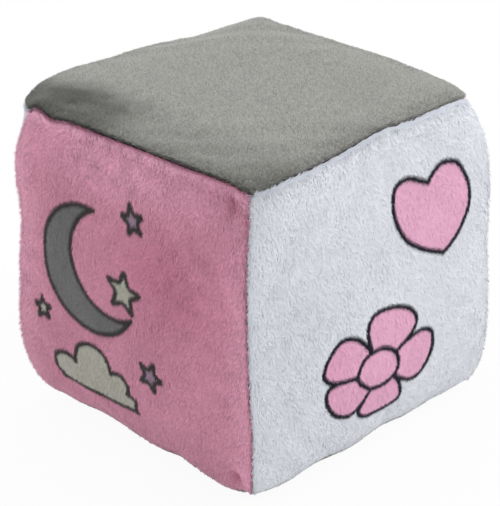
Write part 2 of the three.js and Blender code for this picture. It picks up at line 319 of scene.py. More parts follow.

# %% [markdown]
# ## Folds that a hand and a needle left
#
# A few things belong to this one block. Its seams are not quite straight: a seam that was sewn a little
# loose or tight bends in or out by a few millimetres. Each seam has a few such bends, chosen
# from the differences between the render and the photograph: where the middle of the bend is along the
# seam, how far it reaches and how far it moves the seam, in mm. And the fabric is caught in the
# stitches near the front top corner and folded over at the corner under it. Each of these folds is a
# soft push: its place on the straight cube, its reach along the three axes, and how far it pushes.

# %% Read the creases and add the small folds
PUSHES = [
    ((55.4, -63.0, 57.3), (2.0, 4.0, 3.4), (-0.4, 2.6, 0.0)),
    ((59.6, -63.0, 58.6), (2.6, 4.0, 4.5), (0.0, -1.0, 0.0)),
    ((53.0, -63.0, -53.0), (3.6, 4.0, 5.0), (0.0, 2.2, 0.6)),
    ((60.0, 64.0, 0.0), (2.5, 2.5, 80.0), (-0.8, -0.8, 0.0)),
]
BEND_ACROSS = 14.0
BEND_DIRECTIONS = {
    (-1, 0, 1): (-3, 0, 4),
    (0, 1, 1): (0, 3, 4),
    (-1, -1, 0): (-1, -1, 0),
    (1, 1, 0): (1, 1, 0),
    (1, -1, 0): (1, 1, 0),
    (-1, 1, 0): (-1, 1, 0),
}
SEAM_BENDS = {
    (0, -1, 1): [(0, 80, 1.1), (-51, 7, 1.3), (-38, 7, -1.3), (56, 16, 1.3)],
    (1, 0, 1): [(-57, 9, -1.8), (-38, 18, -1.0), (2, 12, 1.6)],
    (-1, 0, 1): [(-46, 24, -2.8), (4, 24, -3.5), (44, 24, -6.0)],
    (0, 1, 1): [(0, 80, -2.1), (-58, 14, 4.2), (42, 16, -0.8)],
    (-1, -1, 0): [(20, 21, -3.95), (-54, 12, -0.9), (-9, 12, -0.95)],
    (1, 1, 0): [(0, 80, -0.4), (6, 30, -1.5), (57, 8, 0.9)],
    (1, -1, 0): [(-28, 14, 0.6), (52, 14, 0.5)],
    (0, -1, -1): [(0, 80, 0.3), (-23, 18, 3.1), (-47, 8, 0.8), (-60, 8, -1.7), (18, 7, 1.3), (40, 12, -1.8),
                  (60, 8, 2.3)],
    (1, 0, -1): [(-27, 12, 2.2), (8, 11, 1.9), (37, 8, 0.6), (-58, 8, -0.8)],
    (-1, 1, 0): [(-20, 18, -1.6), (30, 14, 0.8)],
    (-1, 0, -1): [(-34, 12, 1.2), (12, 16, 1.8), (50, 10, -0.8)],
    (0, 1, -1): [(-40, 14, 1.6), (-6, 12, -0.7), (28, 12, 1.4)],
}


def sampled(table, places):
    """A smooth look-up in a panel's table of vectors at (u, v) places in mm, by cubics through the
    four nearest columns and rows."""
    cells = len(table) - 1
    spot = np.clip((places / OUTER_HALF + 1) / 2 * cells, 0, cells - 1e-6)
    corner = spot.astype(int)
    part = spot - corner
    share = np.stack([part * (-0.5 + part * (1 - 0.5 * part)), 1 + part ** 2 * (1.5 * part - 2.5),
                      part * (0.5 + part * (2 - 1.5 * part)), part ** 2 * (0.5 * part - 0.5)])
    total = np.zeros((len(places), 3))
    for row in range(4):
        for column in range(4):
            v = np.clip(corner[:, 1] + row - 1, 0, cells)
            u = np.clip(corner[:, 0] + column - 1, 0, cells)
            total += (share[row, :, 1] * share[column, :, 0])[:, None] * table[v, u]
    return total


def bent(on_surface):
    """How far the crooked seams move points of the straight cube's surface."""
    move = np.zeros(on_surface.shape)
    for edge, bends in SEAM_BENDS.items():
        along = edge.index(0)
        across = [axis for axis in range(3) if axis != along]
        away = ((on_surface[:, across] - np.array(edge)[across] * OUTER_HALF) ** 2).sum(axis=1)
        size = sum(height * np.exp(-((on_surface[:, along] - middle) / reach) ** 2)
                   for middle, reach, height in bends)
        direction = np.array(BEND_DIRECTIONS.get(edge, (0, 0, 1)), float)
        move += (size * np.exp(-away / BEND_ACROSS ** 2))[:, None] * direction / np.linalg.norm(direction)
    return move


def shaped(panel, cube_points):
    """Points of a panel on the straight cube, moved to where they are on the stuffed block."""
    _, rightward, upward = axes(panel)
    on_surface = cube_points / np.abs(cube_points).max(axis=1, keepdims=True) * OUTER_HALF
    places = np.column_stack([on_surface @ rightward, on_surface @ upward])
    result = swollen(cube_points) + sampled(CREASES[panel], places) + bent(on_surface)
    for centre, reach, push in PUSHES:
        away = (((on_surface - centre) / reach) ** 2).sum(axis=1, keepdims=True)
        result += np.exp(-away) * push
    return result


print("small folds:", len(PUSHES))

# %% [markdown]
# ## The ground fabric of a panel
#
# Plush is a thin knitted ground with a pile standing on it. The ground of each panel is one closed
# sheet: its face, the small turn into the seam and the edge that is turned in. It is laid out as a
# square grid with rings round it, on the straight cube, and then takes the stuffed form. Under the
# pink and the white pile, which stands up, the ground lies three quarters of a millimetre deep. The
# grey pile lies almost flat, so its ground stays at the surface, and at the stitches all pile is
# pressed flat.

# %% Lay out a panel on the straight cube
GROUND_DEPTH = {"grey_plush": 0.0, "pink_plush": 0.75, "white_plush": 0.75}
GROUND_PRESSED = 0.4
BACKING = 0.5
TURN_RADIUS, SEAM_GAP = 0.95, 0.1
TURN_OUT = OUTER_HALF - TURN_RADIUS
TURN_ACROSS = TURN_OUT - (TURN_RADIUS + SEAM_GAP) * math.sqrt(2)
TURN_ANGLES = np.radians([20, 40, 60, 80, 100, 118, 135])
ALLOWANCE_STEPS = (0.35, 0.7, 1.0)
ALLOWANCE, CLIPPED, CLIP_REACH = 7.0, 3.0, 9.0
CORNER_ROUNDING, ROUNDING_REACH = 1.0, 3.0
CELLS = 96


def rounded(places, half):
    """Places on a square of that half side, with its four corners rounded off."""
    start = half - CORNER_ROUNDING
    over = np.maximum(np.abs(places) - start, 0)
    both = (over > 0).all(axis=1)
    length = np.linalg.norm(over, axis=1)
    biggest = over.max(axis=1)
    scale = np.where(both, biggest / np.maximum(length, 1e-9), 1)[:, None]
    return np.sign(places) * np.where(both[:, None], start + over * scale, np.abs(places))


def laid_out(depth, pressed, rows=len(TURN_ANGLES), allowance=True):
    """A sheet that lies `depth` under a panel's surface, as (u, v, out) in mm, its flat pattern, and its
    grid and rings. The flat pattern is where each point was on the cut square, as (u, v)."""
    line = np.linspace(-TURN_ACROSS, TURN_ACROSS, CELLS + 1)
    v, u = np.meshgrid(line, line, indexing="ij")
    grid = np.stack([u.ravel(), v.ravel()], axis=1)
    reach = np.abs(grid).max(axis=1)
    near = smooth(reach, TURN_ACROSS - ROUNDING_REACH, TURN_ACROSS)[:, None]
    flat = grid * (1 - near) + rounded(grid, TURN_ACROSS) * near
    points = [np.column_stack([flat, np.full(len(flat), OUTER_HALF - depth)])]
    pattern = [flat]
    edge = np.arange((CELLS + 1) ** 2).reshape(CELLS + 1, CELLS + 1)
    ring = np.concatenate([edge[0, :-1], edge[:-1, -1], edge[-1, :0:-1], edge[:0:-1, 0]])
    rim = grid[ring]
    corner = np.abs(rim).min(axis=1)
    for angle in TURN_ANGLES[:rows]:
        radius = TURN_RADIUS - depth - (pressed - depth) * smooth(angle, 0.6, 2.2)
        across = TURN_ACROSS + radius * math.sin(angle)
        square = rounded(rim * across / TURN_ACROSS, across)
        points.append(np.column_stack([square, np.full(len(rim), TURN_OUT + radius * math.cos(angle))]))
        unrolled = TURN_ACROSS + TURN_RADIUS * angle
        pattern.append(rounded(rim * unrolled / TURN_ACROSS, unrolled))
    if allowance:
        last = points[-1]
        width = ALLOWANCE + (CLIPPED - ALLOWANCE) * smooth(corner, TURN_ACROSS - CLIP_REACH, TURN_ACROSS)
        for share in ALLOWANCE_STEPS:
            step = (width * share * math.sqrt(0.5))[:, None]
            across = np.abs(last[:, :2]).max(axis=1, keepdims=True)
            points.append(np.hstack([last[:, :2] * (across - step) / across, last[:, 2:] - step]))
            pattern.append(pattern[-1])
    return np.concatenate(points), np.concatenate(pattern), ring, len(points) - 1


def sheet_faces(ring, rings, offset=0):
    """The quads of the grid and of the rings round it, turned outwards."""
    row = np.arange(CELLS)[:, None] * (CELLS + 1) + np.arange(CELLS)[None, :]
    row = row.ravel()
    quads = [np.column_stack([row, row + 1, row + CELLS + 2, row + CELLS + 1])]
    before = ring
    for number in range(rings):
        after = (CELLS + 1) ** 2 + number * len(ring) + np.arange(len(ring))
        quads.append(np.column_stack([before, after, np.roll(after, -1), np.roll(before, -1)]))
        before = after
    return np.concatenate(quads) + offset, before + offset


def on_cube(panel, places):
    """(u, v, out) of a panel as points of the straight cube."""
    outward, rightward, upward = axes(panel)
    return places[:, :1] * rightward + places[:, 1:2] * upward + places[:, 2:] * outward


def in_metres(points, lowest=0.0):
    """Points in mm from the block's middle, in the model's frame in metres, kept above the floor."""
    row = points - np.array([0, 0, FLOOR])
    row[:, 2] = np.maximum(row[:, 2], lowest)
    return row * MM


sample, _, _, sample_rings = laid_out(GROUND_DEPTH["pink_plush"], GROUND_PRESSED)
print("one sheet of a panel:", len(sample), "points in a grid and", sample_rings, "rings")

# %% [markdown]
# ## The printed pictures
#
# The white panels carry a heart and a flower in pink with a dark outline, figures as old as printing on
# fabric. The pink panels carry a quiet night sky: a grey moon, a cream cloud and a few stars. The
# figures are closed curves drawn through a few places on the panel, in mm, and a place that is given
# twice stays a sharp corner. Stars and moon are worked out.

# %% Three kinds of outline
def curve(points, steps=7):
    """A closed smooth curve through the points."""
    points = np.array(points, float)
    before, after, beyond = (np.roll(points, shift, axis=0) for shift in (1, -1, -2))
    share = np.linspace(0, 1, steps, endpoint=False)[None, :, None]
    p0, p1, p2, p3 = (p[:, None, :] for p in (before, points, after, beyond))
    bend = (2 * p1 + (p2 - p0) * share + (2 * p0 - 5 * p1 + 4 * p2 - p3) * share ** 2
            + (3 * p1 - p0 - 3 * p2 + p3) * share ** 3) / 2
    return bend.reshape(-1, 2)


def star(centre, size, turn, depth=0.5):
    """A five-pointed star with slightly rounded arms."""
    angles = np.radians(turn + 36 * np.arange(10))
    radii = size * np.where(np.arange(10) % 2, depth, 1.0)
    return np.column_stack([centre[0] + radii * np.sin(angles), centre[1] + radii * np.cos(angles)])


def crescent(centre, size, hollow, shift, turn):
    """A moon: a disc of that size with another one, hollow wide and shifted, taken out of it."""
    meet = math.acos((size ** 2 + shift ** 2 - hollow ** 2) / (2 * size * shift))
    rim = np.linspace(meet, 2 * math.pi - meet, 26)
    outer = size * np.column_stack([np.cos(rim), np.sin(rim)])
    tip = math.atan2(size * math.sin(meet), size * math.cos(meet) - shift)
    bay = np.linspace(2 * math.pi - tip, tip, 20)
    inner = np.array([shift, 0]) + hollow * np.column_stack([np.cos(bay), np.sin(bay)])
    both = np.concatenate([outer, outer[-1:], inner[1:], outer[:1]])
    cos, sin = math.cos(math.radians(turn)), math.sin(math.radians(turn))
    return both @ np.array([[cos, sin], [-sin, cos]]) + np.array(centre)


print("places on a star:", len(star((0, 0), 5, 0)))

# %% [markdown]
# Here are the pictures themselves, each as its outline, its fill and its ink. The petals run in under
# the middle of the flower, which is printed over them. The colours are given.

# %% Draw the pictures
OUTLINE_WIDTH = 2.05
INK = "#0d0f1f"
PINK_FILL = "#f9bbd9"
GREY_FILL, CREAM_FILL, LILAC_FILL, BROWN_INK = "#7c7c7d", "#c9c8bb", "#ab8fa6", "#3a3634"
HEART = [
    (25.3, 39.9), (25.3, 39.9), (22.2, 41.2), (15.0, 44.3), (8.3, 43.7), (6.4, 38.9), (7.8, 31.1),
    (13.3, 21.9), (22.2, 15.1), (31.7, 10.3), (34.0, 9.3), (34.0, 9.3), (37.2, 10.8), (43.9, 15.9),
    (48.1, 24.2), (47.9, 32.8), (43.1, 41.1), (39.4, 43.3), (32.8, 44.3), (26.9, 41.7),
]
FLOWER_MIDDLE = [
    (-12.2, -23.1), (-8.1, -17.8), (0.6, -17.2), (8.1, -21.9), (9.5, -29.1), (3.8, -32.8), (-4.4, -32.4),
    (-10.9, -27.5),
]
PETALS = [
    [(-5.0, -16.6), (-5.0, -16.6), (-7.0, -7.5), (-3.8, -2.0), (5.0, -2.2), (15.0, -6.3), (19.7, -12.5),
     (16.3, -17.8), (8.8, -21.6), (8.8, -21.6), (2.0, -25.0)],
    [(8.8, -21.6), (8.8, -21.6), (13.1, -19.7), (22.5, -18.4), (28.6, -21.9), (28.4, -30.0), (22.5, -37.2),
     (15.6, -37.5), (7.5, -31.9), (7.5, -31.9), (3.0, -26.0)],
    [(7.5, -31.9), (7.5, -31.9), (11.3, -38.1), (10.9, -44.4), (2.5, -45.6), (-6.9, -44.4), (-11.4, -40.9),
     (-10.8, -38.1), (-5.9, -32.5), (-5.9, -32.5), (0.0, -28.0)],
    [(-5.9, -32.5), (-5.9, -32.5), (-10.0, -36.6), (-16.9, -39.1), (-24.4, -35.3), (-29.1, -27.5),
     (-27.8, -22.5), (-21.3, -22.1), (-13.1, -24.1), (-13.1, -24.1), (-4.0, -27.0)],
    [(-13.1, -24.1), (-13.1, -24.1), (-25.6, -20.9), (-30.6, -15.3), (-26.3, -8.4), (-19.7, -5.5),
     (-11.9, -8.8), (-5.0, -16.6), (-5.0, -16.6), (-4.0, -22.0)],
]
CLOUD = [
    (-38.0, -42.0), (-38.0, -42.0), (-42.5, -38.0), (-41.5, -32.0), (-36.0, -29.5), (-31.0, -31.0),
    (-31.0, -31.0), (-28.5, -24.0), (-21.0, -20.5), (-13.5, -23.0), (-11.0, -29.0), (-11.0, -29.0),
    (-5.5, -28.0), (-2.0, -31.5), (-2.5, -35.5), (-2.5, -35.5), (1.5, -37.0), (1.0, -42.0), (1.0, -42.0),
    (-18.0, -42.8),
]
WHITE_PRINT_PLACE = np.array([1.15, -0.7])
WHITE_PRINT = [(np.array(shape) + WHITE_PRINT_PLACE, PINK_FILL, INK)
               for shape in PETALS + [FLOWER_MIDDLE, HEART]]
PINK_PRINT = [
    (crescent((-19, 11), 25, 21, 12.5, 24), GREY_FILL, BROWN_INK),
    (CLOUD, CREAM_FILL, BROWN_INK),
    (star((-1, 8), 8.5, 8), CREAM_FILL, BROWN_INK),
    (star((6, 38), 5.5, -12), LILAC_FILL, BROWN_INK),
    (star((11, -22), 6.0, 20), LILAC_FILL, BROWN_INK),
    (star((-47, -14), 4.5, -6), CREAM_FILL, BROWN_INK),
]
PRINTS = {"front": PINK_PRINT, "back": PINK_PRINT, "right": WHITE_PRINT, "left": WHITE_PRINT}
print("curves in a print:", {panel: len(curves) for panel, curves in PRINTS.items()})

# %% [markdown]
# Ink on plush colours each strand where it stands, so the print is worked out for every point of the
# pile: inside a curve it has the fill, and close to the curve it has the outline's ink. A little
# softness at the rims stands for the ink that creeps along the strands. Colours are picked as sRGB hex
# values, the way a paint program shows them, and Blender computes with linear light, so one function
# turns the first into the second.

# %% Work out the ink at a place on a panel
INK_CREEP = 0.3


def linear(hex_text):
    """The linear colour of an sRGB hex value, with full cover."""
    values = [int(hex_text[place:place + 2], 16) / 255 for place in (1, 3, 5)]
    return [v / 12.92 if v <= 0.04045 else ((v + 0.055) / 1.055) ** 2.4 for v in values] + [1.0]


def measured(places, line):
    """The distance from places to a closed line, and whether they lie inside it."""
    start, end = line, np.roll(line, -1, axis=0)
    step = end - start
    length = np.maximum((step ** 2).sum(axis=1), 1e-12)
    distance = np.full(len(places), 1e9)
    inside = np.zeros(len(places), bool)
    for (sx, sy), (dx, dy), square, (_, ey) in zip(start, step, length, end):
        x, y = places[:, 0] - sx, places[:, 1] - sy
        share = np.clip((x * dx + y * dy) / square, 0, 1)
        distance = np.minimum(distance, np.hypot(x - share * dx, y - share * dy))
        crossed = (y < 0) != (places[:, 1] < ey)
        if abs(dy) > 1e-12:
            inside ^= crossed & (x < y * dx / dy)
    return distance, inside


def inked(panel, places):
    """Linear colour and cover of the print at (u, v) places of a panel."""
    ink = np.zeros((len(places), 4))
    for points, fill, outline in PRINTS.get(panel, []):
        line = curve(points)
        low, high = line.min(axis=0) - 2, line.max(axis=0) + 2
        near = np.flatnonzero(((places > low) & (places < high)).all(axis=1))
        distance, inside = measured(places[near], line)
        signed = np.where(inside, distance, -distance)
        for cover, colour in ((np.clip(0.5 + signed / INK_CREEP, 0, 1), fill),
                              (np.clip(0.5 + (OUTLINE_WIDTH / 2 - distance) / INK_CREEP, 0, 1), outline)):
            cover = cover[:, None]
            part = ink[near]
            part[:, :3] = part[:, :3] * (1 - cover) + np.array(linear(colour)[:3]) * cover
            part[:, 3:] = part[:, 3:] * (1 - cover) + cover
            ink[near] = part
    covered = ink[:, 3:] > 1e-4
    ink[:, :3] = np.where(covered, ink[:, :3] / np.maximum(ink[:, 3:], 1e-4), 0)
    return ink


print("ink in the heart:", inked("right", np.array([[30.0, 30.0]])).round(2).tolist())

# %% [markdown]
# ## Helpers for every material
#
# A material is a tree of nodes. One function adds a node with its settings and links in one line, for
# material trees and Geometry Nodes alike. The others are the few nodes that every material here needs:
# sums, noise, and a number or a colour that is scaled.

# %% Node helpers
def add(tree, kind, inputs=None, **settings):
    """One node: settings are its properties, inputs its sockets' values, or the sockets or nodes that
    are linked to them. A node gives its first output."""
    item = tree.nodes.new(kind)
    for name, value in settings.items():
        setattr(item, name, value)
    for key, value in (inputs or {}).items():
        value = value.outputs[0] if isinstance(value, bpy.types.Node) else value
        if isinstance(value, bpy.types.NodeSocket):
            tree.links.new(value, item.inputs[key])
        else:
            item.inputs[key].default_value = value
    return item


def maths(tree, operation, *values):
    """A node that works out one number."""
    return add(tree, "ShaderNodeMath", dict(enumerate(values)), operation=operation)


def scaled(tree, vector, share):
    """A node that scales a colour or any other vector."""
    return add(tree, "ShaderNodeVectorMath", {0: vector, "Scale": share}, operation="SCALE")


def spread(tree, value, low, high, start=0.0, end=1.0):
    """A node that spreads what lies from start to end over low to high."""
    return add(tree, "ShaderNodeMapRange", {"Value": value, "From Min": start, "From Max": end,
                                            "To Min": low, "To Max": high})


def noise(tree, place, scale, detail, **inputs):
    """A node with soft noise, `scale` waves to the metre."""
    return add(tree, "ShaderNodeTexNoise", {"Vector": place, "Scale": scale, "Detail": detail, **inputs})


def emptied(owner):
    """The tree of a new material or world, with nothing in it."""
    owner.use_nodes = True
    owner.node_tree.nodes.clear()
    return owner.node_tree


def material_tree(name):
    """A new material, its empty tree and the place on the object for its textures."""
    material = bpy.data.materials.new(name)
    tree = emptied(material)
    return material, tree, add(tree, "ShaderNodeTexCoord").outputs["Object"]


def coated(tree, inputs):
    """Ends a material's tree with the fibre or plastic that the inputs describe."""
    add(tree, "ShaderNodeOutputMaterial", {"Surface": add(tree, "ShaderNodeBsdfPrincipled", inputs)})


print("helpers:", ", ".join(helper.__name__ for helper in (add, maths, scaled, spread, noise, coated)))

# %% [markdown]
# ## The plush material
#
# Polyester plush is dyed fibre: no metal, a soft diffuse look and a velvety rim of light where the
# strands are seen from the side. The dye is never quite even and strands differ a little. Their roots
# get less light, so they are darkened with painted shade. Where the painted light level of a place is
# below 1, the colour is mixed towards the dye times itself, darker and stronger: painted shade for
# looking deep into the pile, where the light has met the dye twice. Above 1 it is mixed the other way,
# as painted light. All of that goes into the base colour, and the roughness stays high.

# %% Make the plush materials
# The share of the dye times itself in the painted shade deep in the pile, and how far up a strand the
# painted shade of the roots reaches.
DEEP_SHARE, ROOT_REACH = 0.75, 0.8
BLOTCHES, GRAIN = 90.0, 900.0
NOISE_RANGE = (0.3, 0.7)


def plush_material(name, dye, blotch, difference, root_level, sheen):
    """Dyed polyester pile, soft and rough. The four shares are how uneven the dye is, how much one
    strand differs from the next, how light the roots stay under their painted shade, and how velvety the
    rim of light is."""
    material, tree, place = material_tree(name)
    # The painted light level of each place: painted shade below 1, painted light above 1.
    shade, along, painted_light_level = (add(tree, "ShaderNodeAttribute", attribute_name=key).outputs["Fac"]
                             for key in ("shade", "along", "painted_light_level"))
    soft = spread(tree, noise(tree, place, BLOTCHES, 3.0), 1 - blotch, 1 + blotch, *NOISE_RANGE)
    fine = spread(tree, noise(tree, place, GRAIN, 1.0), 1 - difference / 2, 1 + difference / 2,
                  *NOISE_RANGE)
    strand = spread(tree, shade, 1 - difference, 1 + difference)
    # Painted shade at the roots of the strands.
    root = spread(tree, along, root_level, 1.0, end=ROOT_REACH)
    level = maths(tree, "MULTIPLY", maths(tree, "MULTIPLY", soft, fine),
                  maths(tree, "MULTIPLY", strand, root))
    ink = add(tree, "ShaderNodeAttribute", attribute_name="ink")
    dyed = add(tree, "ShaderNodeMix", {"Factor": ink.outputs["Alpha"], "A": linear(dye),
                                       "B": ink.outputs["Color"]}, data_type="RGBA").outputs["Result"]
    # Painted shade deep in the pile where the level is below 1, painted light where it is above 1.
    twice = add(tree, "ShaderNodeVectorMath", {0: dyed, 1: dyed}, operation="MULTIPLY")
    dye_with_painted_light = add(tree, "ShaderNodeMix", {"Factor": painted_light_level, "A": scaled(tree, twice, DEEP_SHARE),
                                       "B": dyed}, data_type="VECTOR", clamp_factor=False)
    lit = add(tree, "ShaderNodeAttribute", attribute_name="lit").outputs["Vector"]
    lit = add(tree, "ShaderNodeVectorTransform", {"Vector": lit}, vector_type="NORMAL",
              convert_from="OBJECT", convert_to="WORLD")
    coated(tree, {"Base Color": scaled(tree, dye_with_painted_light.outputs["Result"], level), "Normal": lit,
                  "Roughness": 0.85, "Specular IOR Level": 0.12, "Sheen Weight": sheen,
                  "Sheen Roughness": 0.5})
    return material


PLUSH_MATERIALS = {
    "grey_plush": plush_material("polyester plush, dyed grey", "#a7a7a2", 0.02, 0.20, 0.66, 0.12),
    "pink_plush": plush_material("polyester plush, dyed pink", "#e89eb8", 0.035, 0.14, 0.86, 0.25),
    "white_plush": plush_material("polyester plush, white", "#f1f4fb", 0.008, 0.04, 0.95, 0.15),
}
PANEL_SLOTS = {"top": "grey_plush", "bottom": "grey_plush", "front": "pink_plush", "back": "pink_plush",
               "right": "white_plush", "left": "white_plush"}
print("materials:", [material.name for material in PLUSH_MATERIALS.values()])

# %% [markdown]
# Plush looks dark where its strands are laid over towards the eye, because one looks into their shaded
# roots, as on velvet. That shade is painted here: the front edge of the grey top is painted darker, most
# of all at its left end, a little at its right edge and at its stitches. It is kept as one level for
# each place, which darkens the dye, or lightens it above 1. Painted shade darkens the white close to
# the seams and under the top seam, painted light lifts the pink under the top seam, and a few soft
# painted marks, dark or light, stand for the shade and light of the hollows and folds of this one block
# and of the lamps on its panels.

# %% Find how much painted shade or light each place gets
STITCH = 3.0
# Where the painted shade on the front edge of the top grows, in mm, and how dark each part of it is
# painted: all along, at the left end, at the right edge and at the stitches.
FRONT_SHADE_FROM, FRONT_SHADE_TO = 24.0, 50.0
FRONT_SHADE_ENDS = (-22.0, 2.0)
PAINTED_SHADE_SHARES = {"everywhere": 0.31, "left end": 0.55, "right edge": 0.10, "stitch": 0.35}
RIGHT_EDGE, AT_STITCHES = (44.0, 56.0), (55.5, 59.0)
# How much painted shade the white gets close to the seams, and from where to where that grows, in mm.
SHADE_IN_SEAM, IN_SEAM = {"white_plush": 0.25}, (59.0, 61.5)
# How much painted shade the pile gets just under the top seam, painted light where it is below
# zero, and from where to where that grows, in mm.
UNDER_TOP_SEAM = {"white_plush": (0.40, 59.4, 61.4), "pink_plush": (-0.45, 58.2, 60.4)}
# Painted marks for the shade and light of folds, hollows and lamps: centre and size in mm, turn in
# degrees, and how dark. A mark below zero is painted light.
PAINTED_LIGHT_MARKS = {
    "top": [((-43.0, -42.0), (13.0, 9.0), 0, 0.36)],
    "front": [((22.0, 20.0), (27.0, 26.0), 0, 0.33), ((6.0, 54.0), (40.0, 11.0), 0, -0.40),
              ((60.0, 0.0), (6.0, 70.0), 0, -0.30), ((-60.0, 0.0), (9.0, 70.0), 0, -0.30),
              ((57.3, 57.4), (2.2, 3.0), 35, 0.85), ((60.2, 60.2), (2.4, 3.4), 25, -0.75),
              ((53.0, -53.0), (4.4, 2.2), 42, 0.6), ((60.0, -50.0), (2.0, 7.0), -10, -0.15)],
    "right": [((-52.0, 56.0), (30.0, 9.0), 0, -0.17), ((-42.0, -4.0), (24.0, 44.0), 0, 0.30)],
}
LIGHTEST, UNEVEN = 1.6, 0.025


def painted_light_level(panel, places):
    """Painted shade below 1 and painted light above 1 at (u, v) places of a panel, plus a little uneven
    dye.
    """
    u, v = places.T
    outwards = np.abs(places).max(axis=1)
    dark = np.zeros(len(places))
    # Painted shade along the front edge of the top, darkest at its left end, and at its stitches.
    if panel == "top":
        near = smooth(-v + 2.6 * waves(places, 11, 61), FRONT_SHADE_FROM, FRONT_SHADE_TO)
        left = 1 - smooth(u + 4 * waves(places, 14, 62), *FRONT_SHADE_ENDS)
        dark += near * (PAINTED_SHADE_SHARES["everywhere"] + PAINTED_SHADE_SHARES["left end"] * left)
        dark += PAINTED_SHADE_SHARES["right edge"] * smooth(u + 3 * waves(places, 13, 63), *RIGHT_EDGE)
        stitches = (0.5 + 0.5 * np.cos(2 * math.pi * np.abs(places).min(axis=1) / STITCH)) ** 2
        dark += PAINTED_SHADE_SHARES["stitch"] * stitches * smooth(outwards, *AT_STITCHES)
    # Painted shade on the white close to the seams.
    dark += SHADE_IN_SEAM.get(PANEL_SLOTS[panel], 0) * smooth(outwards, *IN_SEAM)
    # Painted shade on the white and painted light on the pink just under the top seam.
    if PANEL_SLOTS[panel] in UNDER_TOP_SEAM:
        depth, start, end = UNDER_TOP_SEAM[PANEL_SLOTS[panel]]
        dark += depth * smooth(v + 0.6 * waves(places, 3, 71), start, end)
    # Painted marks of shade and light.
    for centre, size, turn, depth in PAINTED_LIGHT_MARKS.get(panel, []):
        cos, sin = math.cos(math.radians(turn)), math.sin(math.radians(turn))
        away = (places - np.array(centre)) @ np.array([[cos, sin], [-sin, cos]]) / np.array(size)
        dark += depth * np.exp(-(away ** 2).sum(axis=1))
    return np.clip(1 - dark, 0.0, LIGHTEST) + UNEVEN * waves(places, 30, 60 + len(panel))


corner_levels = painted_light_level("top", np.array([[0.0, 0.0], [0.0, -54.0], [-40.0, -54.0]]))
print("levels in the middle, at the front edge and at its left end:", corner_levels.round(2))

# %% [markdown]
# The ground of a panel is two of those sheets, half a millimetre apart, closed round the turned-in
# edge. It takes the print, the painted shade and light and the painted root shade that the pile on it
# gets, so the colour stays the same where a strand is missing.

# %% Build the ground of every panel
LOWEST, LOWEST_INSIDE = 0.35, 0.8
# The ground has the middle strand tone and the painted root shade of a place 0.35 up a strand.
GROUND_SHADE, GROUND_ALONG = 0.5, 0.35


def point_values(mesh, name, values):
    """Stores numbers or vectors on the points of a mesh."""
    kind, field = ("FLOAT_VECTOR", "vector") if values.ndim > 1 else ("FLOAT", "value")
    layer = mesh.attributes.new(name, kind, "POINT")
    layer.data.foreach_set(field, np.ascontiguousarray(values, np.float32).ravel())


def printed(mesh, ink):
    """Stores the ink on the points of a mesh."""
    mesh.color_attributes.new("ink", "FLOAT_COLOR", "POINT").data.foreach_set("color", ink.ravel())


def ground(panel):
    """The closed knitted ground of a panel, shaped and coloured."""
    depth = GROUND_DEPTH[PANEL_SLOTS[panel]]
    outer, _, ring, rings = laid_out(depth, GROUND_PRESSED)
    inner, _, _, _ = laid_out(depth + BACKING, GROUND_PRESSED + BACKING)
    outer_faces, outer_rim = sheet_faces(ring, rings)
    inner_faces, inner_rim = sheet_faces(ring, rings, len(outer))
    closing = np.column_stack([outer_rim, inner_rim, np.roll(inner_rim, -1), np.roll(outer_rim, -1)])
    faces = np.concatenate([outer_faces, inner_faces[:, ::-1], closing])
    stuffed = [in_metres(shaped(panel, on_cube(panel, sheet)), low)
              for sheet, low in ((outer, LOWEST), (inner, LOWEST_INSIDE))]
    item = mesh_object("plush_" + panel, np.concatenate(stuffed), faces)
    mesh = item.data
    mesh.shade_smooth()
    places = np.concatenate([outer, inner])[:, :2]
    printed(mesh, inked(panel, places))
    point_values(mesh, "shade", np.full(len(places), GROUND_SHADE))
    point_values(mesh, "along", np.full(len(places), GROUND_ALONG))
    # The painted shade and light of each place.
    point_values(mesh, "painted_light_level", painted_light_level(panel, places))
    point_values(mesh, "lit", read(mesh.vertices, "normal"))
    mesh.materials.append(PLUSH_MATERIALS[PANEL_SLOTS[panel]])
    return item


grounds = {panel: ground(panel) for panel in PANELS}
for panel, item in grounds.items():
    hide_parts("panel_" + panel)
    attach(item, "block")
print("quads in a panel's ground:", len(grounds["top"].data.polygons))

# %% [markdown]
# ## The pile
#
# The pile is what the eye sees: short strands, brushed mostly one way. Geometry Nodes scatter points
# over the ground and set a narrow ribbon on each one. Its flat side faces outwards, as a tuft of fine
# fibres does, so a ribbon of four tenths of a millimetre stands for a tuft, and five or six of them on
# every square millimetre cover the ground. Only the upper millimetre or so of the strands is made,
# because what is deeper doesn't show.

# %% Build the Geometry Nodes tree that sows the pile
TAPER = 0.65
WOBBLE = (0.18, 0.12, 0.4)
SHORT_STRAND, TALL_STRAND = 0.8, 1.15


def geometry_tree(name, inputs):
    """A tree of Geometry Nodes with these named inputs, and the sockets that bring them in."""
    tree = bpy.data.node_groups.new(name, "GeometryNodeTree")
    for key, kind in {"Geometry": "Geometry", **inputs}.items():
        tree.interface.new_socket(key, in_out="INPUT", socket_type="NodeSocket" + kind)
    tree.interface.new_socket("Geometry", in_out="OUTPUT", socket_type="NodeSocketGeometry")
    return tree, add(tree, "NodeGroupInput").outputs


def named(tree, name, kind="FLOAT"):
    """A node that gives what is stored under a name."""
    return add(tree, "GeometryNodeInputNamedAttribute", {"Name": name}, data_type=kind)


def stored(tree, geometry, name, value):
    """A node that stores a number under a name on every point."""
    return add(tree, "GeometryNodeStoreNamedAttribute", {"Geometry": geometry, "Name": name,
                                                         "Value": value}, data_type="FLOAT", domain="POINT")


def random_number(tree, low, high, seed):
    """A random number from low to high for every point."""
    return add(tree, "FunctionNodeRandomValue", {2: low, 3: high, "Seed": seed},
               data_type="FLOAT").outputs[1]


